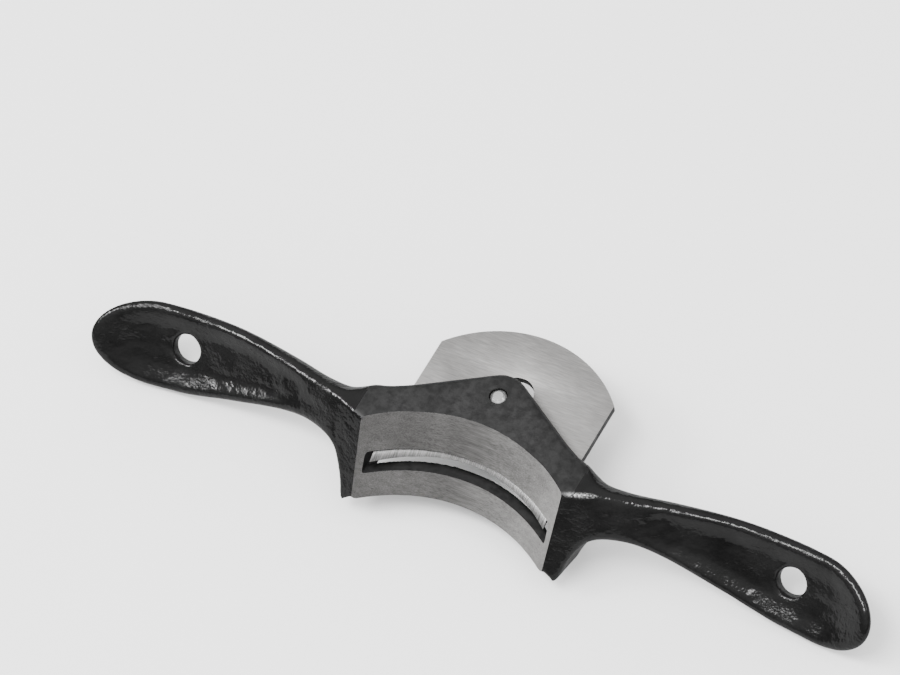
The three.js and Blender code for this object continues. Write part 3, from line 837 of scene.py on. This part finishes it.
def make_cap():
    nose = cap_outline(0.0)
    under = cap_outline(CAP_NOSE_SLOPE_LENGTH)
    nose_z = CAP_TOP_Z - CAP_NOSE_THICKNESS
    count = len(nose)
    vertices = [(x, y, CAP_LOW_Z) for x, y in under]
    vertices += [(x, y, nose_z) for x, y in nose] + [(x, y, CAP_TOP_Z) for x, y in nose]
    faces = [tuple(reversed(range(count))), tuple(range(2 * count, 3 * count))]
    for level in (0, count):
        for i in range(count):
            j = (i + 1) % count
            faces.append((level + i, level + j, level + j + count, level + i + count))
    cap = mesh_object("cap_visual", vertices, faces)
    inside_z = CAP_LOW_Z + 1
    boss = [(0, CAP_BOSS_Z), (CAP_BOSS_RADIUS - CAP_BOSS_CHAMFER, CAP_BOSS_Z),
            (CAP_BOSS_RADIUS, CAP_BOSS_Z + CAP_BOSS_CHAMFER), (CAP_BOSS_RADIUS, inside_z), (0, inside_z)]
    cut(cap, lathe("boss", boss, SCREW_Y, ARC_STEPS), "UNION")
    relief = arc_points((0.0, CAP_RELIEF_Y), CAP_RELIEF_RADIUS, 0.0, 2 * math.pi, ARC_STEPS)[:-1]
    cut(cap, prism("relief", relief, CAP_TOP_Z - CAP_RELIEF, CLEAR))
    cut(cap, drill("cap_bore", CAP_HOLE_RADIUS, CAP_BORE_STEPS))
    soften_edges(cap, CAP_EDGE_SOFTENING, 3, CAP_SOFTENED_ANGLE)
    cap.data.materials.clear()
    cap.data.materials.append(satin_material("cap_enamel", 0.03, 0.06))
    return cap


# ---- Cap screw ----

SCREW_SEGMENTS = 96


def make_screw():
    collar_top = CAP_BOSS_Z - FIT_GAP
    head_top = collar_top - COLLAR_HEIGHT
    head_low = head_top - HEAD_HEIGHT
    end = BODY_HEIGHT - SCREW_END_BELOW_FACE
    profile = [(0, head_low)]
    profile += [(HEAD_RADIUS - inward, head_low + along) for inward, along in HEAD_EDGE]
    profile += [(HEAD_RADIUS - inward, head_top - along) for inward, along in reversed(HEAD_EDGE)]
    profile += [(COLLAR_RADIUS, head_top), (COLLAR_RADIUS, collar_top), (SCREW_RADIUS, collar_top)]
    profile += [(SCREW_RADIUS, end - SCREW_END_CHAMFER), (SCREW_RADIUS - SCREW_END_INSET, end), (0, end)]
    screw = lathe("screw_visual", profile, SCREW_Y, SCREW_SEGMENTS, HEAD_KNURL)
    half = HEAD_SLOT_WIDTH / 2
    low_y = SCREW_Y - half
    high_y = SCREW_Y + half
    slot = [(-CLEAR, low_y), (CLEAR, low_y), (CLEAR, high_y), (-CLEAR, high_y)]
    cut(screw, prism("screw_slot", slot, -CLEAR, head_low + HEAD_SLOT_DEPTH))
    screw.data.materials.clear()
    screw.data.materials.append(screw_material())
    return screw


# ---- Stage, lights and camera ----

WORLD_STRENGTH = 2.1
FLOOR_GREY = 0.95
FLOOR_MIRRORED = 0.25    # how grey the floor looks in glossy reflections
FLOOR_HALF_SIZE = 6.0
SHARP_ANGLE = math.radians(38)


def make_stage():
    """A pale floor, which glossy surfaces see darker."""
    size = FLOOR_HALF_SIZE
    mesh = bpy.data.meshes.new("floor")
    corners = [(-size, -size, 0), (size, -size, 0), (size, size, 0), (-size, size, 0)]
    mesh.from_pydata(corners, [], [(0, 1, 2, 3)])
    floor = bpy.data.objects.new("floor", mesh)
    bpy.context.scene.collection.objects.link(floor)
    paint = Paint("floor_white", 0.9)
    rays = paint.nodes.new("ShaderNodeLightPath")
    paint.into("Base Color", paint.mix(rays.outputs["Is Glossy Ray"], grey(FLOOR_GREY), grey(FLOOR_MIRRORED)))
    mesh.materials.append(paint.material)


def area_light(name, place, target, size, power):
    light = bpy.data.lights.new(name, "AREA")
    light.shape = "RECTANGLE"
    light.size, light.size_y = size
    light.energy = power
    lamp = bpy.data.objects.new(name, light)
    lamp.location = place
    lamp.rotation_euler = (Vector(target) - Vector(place)).to_track_quat("-Z", "Y").to_euler()
    bpy.context.scene.collection.objects.link(lamp)


def make_world():
    """Pale all-round light. Glossy surfaces see a dimmer room, bright overhead and dark at the horizon."""
    world = bpy.data.worlds.new("studio")
    world.use_nodes = True
    nodes, links = world.node_tree.nodes, world.node_tree.links
    background = nodes["Background"]
    background.inputs["Color"].default_value = (1.0, 1.0, 1.0, 1.0)
    background.inputs["Strength"].default_value = WORLD_STRENGTH
    room = nodes.new("ShaderNodeBackground")
    height = nodes.new("ShaderNodeSeparateXYZ")
    links.new(nodes.new("ShaderNodeTexCoord").outputs["Generated"], height.inputs["Vector"])
    level = nodes.new("ShaderNodeMapRange")
    level.inputs["From Min"].default_value = 0.1
    level.inputs["From Max"].default_value = 0.8
    level.inputs["To Min"].default_value = 0.08
    level.inputs["To Max"].default_value = 0.9
    links.new(height.outputs["Z"], level.inputs["Value"])
    links.new(level.outputs["Result"], room.inputs["Strength"])
    rays = nodes.new("ShaderNodeLightPath")
    choose = nodes.new("ShaderNodeMixShader")
    links.new(rays.outputs["Is Glossy Ray"], choose.inputs["Fac"])
    links.new(background.outputs["Background"], choose.inputs[1])
    links.new(room.outputs["Background"], choose.inputs[2])
    links.new(choose.outputs["Shader"], nodes["World Output"].inputs["Surface"])
    bpy.context.scene.world = world


def make_lights():
    target = (0, 0, 0.02)
    area_light("overhead", (-0.15, -0.35, 1.15), target, (0.7, 0.3), 14.0)
    area_light("left", (-0.85, -0.3, 0.8), target, (0.3, 0.3), 7.0)
    area_light("strip_right", (0.9, 0.3, 0.9), target, (0.15, 0.6), 1.0)


CAMERA_AZIMUTH = math.radians(38.5)
CAMERA_ELEVATION = math.radians(54.5)
CAMERA_ROLL = math.radians(-12.2)
CAMERA_LENS = 259.0
CAMERA_DISTANCE = 1.842
CAMERA_AIM = ORIGIN + Vector((-27.8, 41.3, 7.6)) * MM


def make_camera():
    camera_data = bpy.data.cameras.new("camera")
    camera_data.lens = CAMERA_LENS
    camera_data.sensor_width = 36.0
    camera_data.clip_start = 0.1
    camera_data.clip_end = 20.0
    camera = bpy.data.objects.new("camera", camera_data)
    back = Vector((
        math.sin(CAMERA_AZIMUTH) * math.cos(CAMERA_ELEVATION),
        -math.cos(CAMERA_AZIMUTH) * math.cos(CAMERA_ELEVATION),
        math.sin(CAMERA_ELEVATION),
    ))
    level_right = Vector((0, 0, 1)).cross(back).normalized()
    level_up = back.cross(level_right)
    right = math.cos(CAMERA_ROLL) * level_right + math.sin(CAMERA_ROLL) * level_up
    up = back.cross(right)
    turn = Matrix((right, up, back)).transposed()
    camera.matrix_world = Matrix.Translation(CAMERA_AIM + back * CAMERA_DISTANCE) @ turn.to_4x4()
    bpy.context.scene.collection.objects.link(camera)
    bpy.context.scene.camera = camera


def place(obj, body, node, slot):
    shade_smooth(obj, SHARP_ANGLE)
    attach(obj, body)
    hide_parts(node)


casting = make_casting()
paint_casting(casting)
place(casting, "casting", "body_casting", "black_enamel")
place(make_cutter(), "cutter_body", "cutter", "ground_steel")
place(make_cap(), "cap_body", "lever_cap", "dark_cap")
place(make_screw(), "screw_body", "cap_screw", "screw_steel")

make_stage()
make_world()
make_lights()
make_camera()
